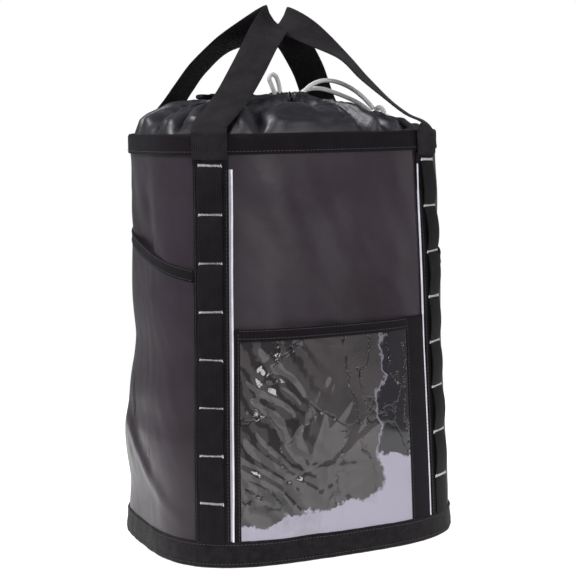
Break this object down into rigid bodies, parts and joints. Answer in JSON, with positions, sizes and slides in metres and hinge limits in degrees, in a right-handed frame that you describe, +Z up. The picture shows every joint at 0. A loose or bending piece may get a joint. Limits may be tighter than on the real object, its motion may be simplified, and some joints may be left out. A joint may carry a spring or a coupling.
{
  "type": "rope storage bag",
  "caption": "Tall open-topped fabric bag for rope with two webbing handles, a gathered drawcord hood, webbing loop chains at the corners, two side pockets and a clear front pocket.",
  "frame": {"origin": "centre of the underside, on the surface the bag stands on", "axes": "+Z up, -Y towards the front with the clear pocket, -X towards the bag's left side as seen from the front"},
  "size_m": [0.3652, 0.2831, 0.5958],
  "materials": {
    "coated_fabric": "coated",
    "webbing": "woven",
    "binding": "woven",
    "hood_fabric": "light ripstop",
    "base_fabric": "coarse woven",
    "clear_window": "clear film",
    "reflective": "reflective tape",
    "cord": "braided",
    "stiffener": "moulded sheet"
  },
  "bodies": {
    "root": {"front_panel": "coated_fabric", "back_panel": "coated_fabric", "left_panel": "coated_fabric", "right_panel": "coated_fabric", "left_pocket": "coated_fabric", "right_pocket": "coated_fabric", "base_panel": "base_fabric", "base_band": "base_fabric", "base_board": "stiffener", "rim_hoop": "stiffener", "rim_band": "binding", "window_top_binding": "binding", "window_left_binding": "binding", "window_right_binding": "binding", "left_pocket_binding": "binding", "right_pocket_binding": "binding", "corner_webbing_front_left": "webbing", "chain_loops_front_left": "webbing", "piping_front_left": "reflective", "corner_webbing_front_right": "webbing", "chain_loops_front_right": "webbing", "piping_front_right": "reflective", "corner_webbing_back_right": "webbing", "chain_loops_back_right": "webbing", "piping_back_right": "reflective", "corner_webbing_back_left": "webbing", "chain_loops_back_left": "webbing", "piping_back_left": "reflective", "hood": "hood_fabric", "hood_hem": "hood_fabric", "window_sheet": "clear_window", "drawcord_in_hem": "cord", "drawcord_strand_upper": "cord", "drawcord_strand_lower": "cord", "drawcord_loop": "cord", "drawcord_knot": "cord"},
    "handle_left": {"handle_left": "webbing"},
    "handle_right": {"handle_right": "webbing"},
    "pull_tab": {"hood_pull_tab": "webbing"}
  },
  "joints": [
    {"name": "handle_left_swing", "type": "hinge", "parent": "root", "child": "handle_left", "pos_m": [-0.1414, 0, 0.4575], "axis": [-0.067, -0.9978, 0], "range_deg": [0, 178]},
    {"name": "handle_right_swing", "type": "hinge", "parent": "root", "child": "handle_right", "pos_m": [0.1414, 0, 0.4575], "axis": [-0.067, 0.9978, 0], "range_deg": [0, 178]},
    {"name": "pull_tab_lift", "type": "hinge", "parent": "root", "child": "pull_tab", "pos_m": [-0.062, -0.028, 0.4934], "axis": [0, 1, 0], "range_deg": [0, 60]}
  ]
}
